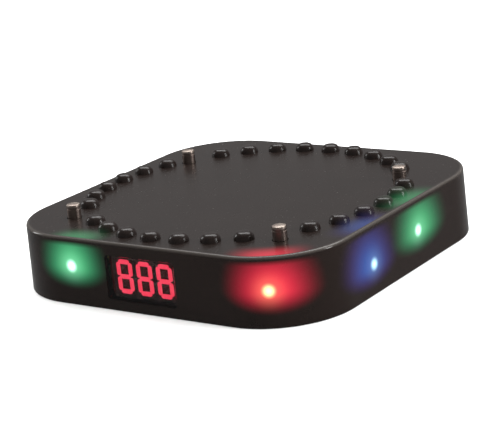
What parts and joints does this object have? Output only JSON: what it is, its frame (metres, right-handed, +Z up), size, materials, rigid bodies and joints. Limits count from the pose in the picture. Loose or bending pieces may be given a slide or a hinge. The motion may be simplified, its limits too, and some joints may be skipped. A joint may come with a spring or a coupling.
{
  "type": "guest coaster pager",
  "caption": "Rounded-square stackable guest pager with a red digit display in its front wall, lamps inside the wall, a ring of domes and charging posts on top.",
  "frame": {"origin": "centre of the underside of the body", "axes": "+Z up, the display looks towards -Y, +X to the right of someone facing the display"},
  "size_m": [0.095, 0.095, 0.0211],
  "materials": {
    "smoked_shell": "gloss, smoked near-black",
    "smoked_cover": "fine matt, smoked near-black",
    "smoked_lens": "gloss, smoked",
    "display_block": "matt black",
    "display_segments": "lit red bars",
    "solder_mask": "green board",
    "epoxy": "moulded black",
    "steel": "satin",
    "screw_steel": "zinc plated",
    "tungsten": "sintered, dull",
    "copper_wire": "bare copper",
    "battery_pouch": "laminated pouch",
    "foam_tape": "foam tape",
    "nylon": "natural nylon",
    "red_jacket": "red insulation",
    "black_jacket": "black insulation",
    "lamp_lens": "clear resin",
    "bronze_post": "dark nickel-bronze plate"
  },
  "bodies": {
    "housing": {"top_cover": "smoked_shell", "bottom_cover": "smoked_cover", "display_window": "smoked_lens", "display_module": "display_block", "display_face": "display_segments", "main_board": "solder_mask", "controller_chip": "epoxy", "radio_chip": "epoxy", "charger_chip": "epoxy", "crystal": "steel", "radio_antenna": "copper_wire", "battery": "battery_pouch", "battery_tape": "foam_tape", "battery_socket": "nylon", "battery_plug": "nylon", "battery_lead_red": "red_jacket", "battery_lead_black": "black_jacket", "buzzer": "epoxy", "motor_can": "steel", "motor_cradle": "nylon", "power_switch": "epoxy", "lamp_front_inner": "lamp_lens", "lamp_front_left": "lamp_lens", "lamp_front_right": "lamp_lens", "lamp_right_front": "lamp_lens", "lamp_right_rear": "lamp_lens", "lamp_back_right": "lamp_lens", "lamp_back_left": "lamp_lens", "lamp_left_rear": "lamp_lens", "lamp_left_front": "lamp_lens", "charging_post_front_left": "bronze_post", "charging_post_front_right": "bronze_post", "charging_post_rear_left": "bronze_post", "charging_post_rear_right": "bronze_post", "contact_pad_front_left": "bronze_post", "contact_pad_front_right": "bronze_post", "contact_pad_rear_left": "bronze_post", "contact_pad_rear_right": "bronze_post", "cover_screw_front_left": "screw_steel", "cover_screw_front_right": "screw_steel", "cover_screw_rear_left": "screw_steel", "cover_screw_rear_right": "screw_steel"},
    "motor_rotor": {"motor_shaft": "steel", "eccentric_weight": "tungsten"},
    "button": {"power_button": "smoked_cover", "switch_plunger": "nylon"}
  },
  "joints": [
    {"name": "motor_spin", "type": "hinge", "parent": "housing", "child": "motor_rotor", "pos_m": [-0.023, 0.0314, 0.0101], "axis": [1, 0, 0], "continuous": true},
    {"name": "button_press", "type": "slide", "parent": "housing", "child": "button", "axis": [0, 0, 1], "range_m": [0, 0.0005], "stiffness_N_per_m": 800, "springref_m": -0.001}
  ]
}
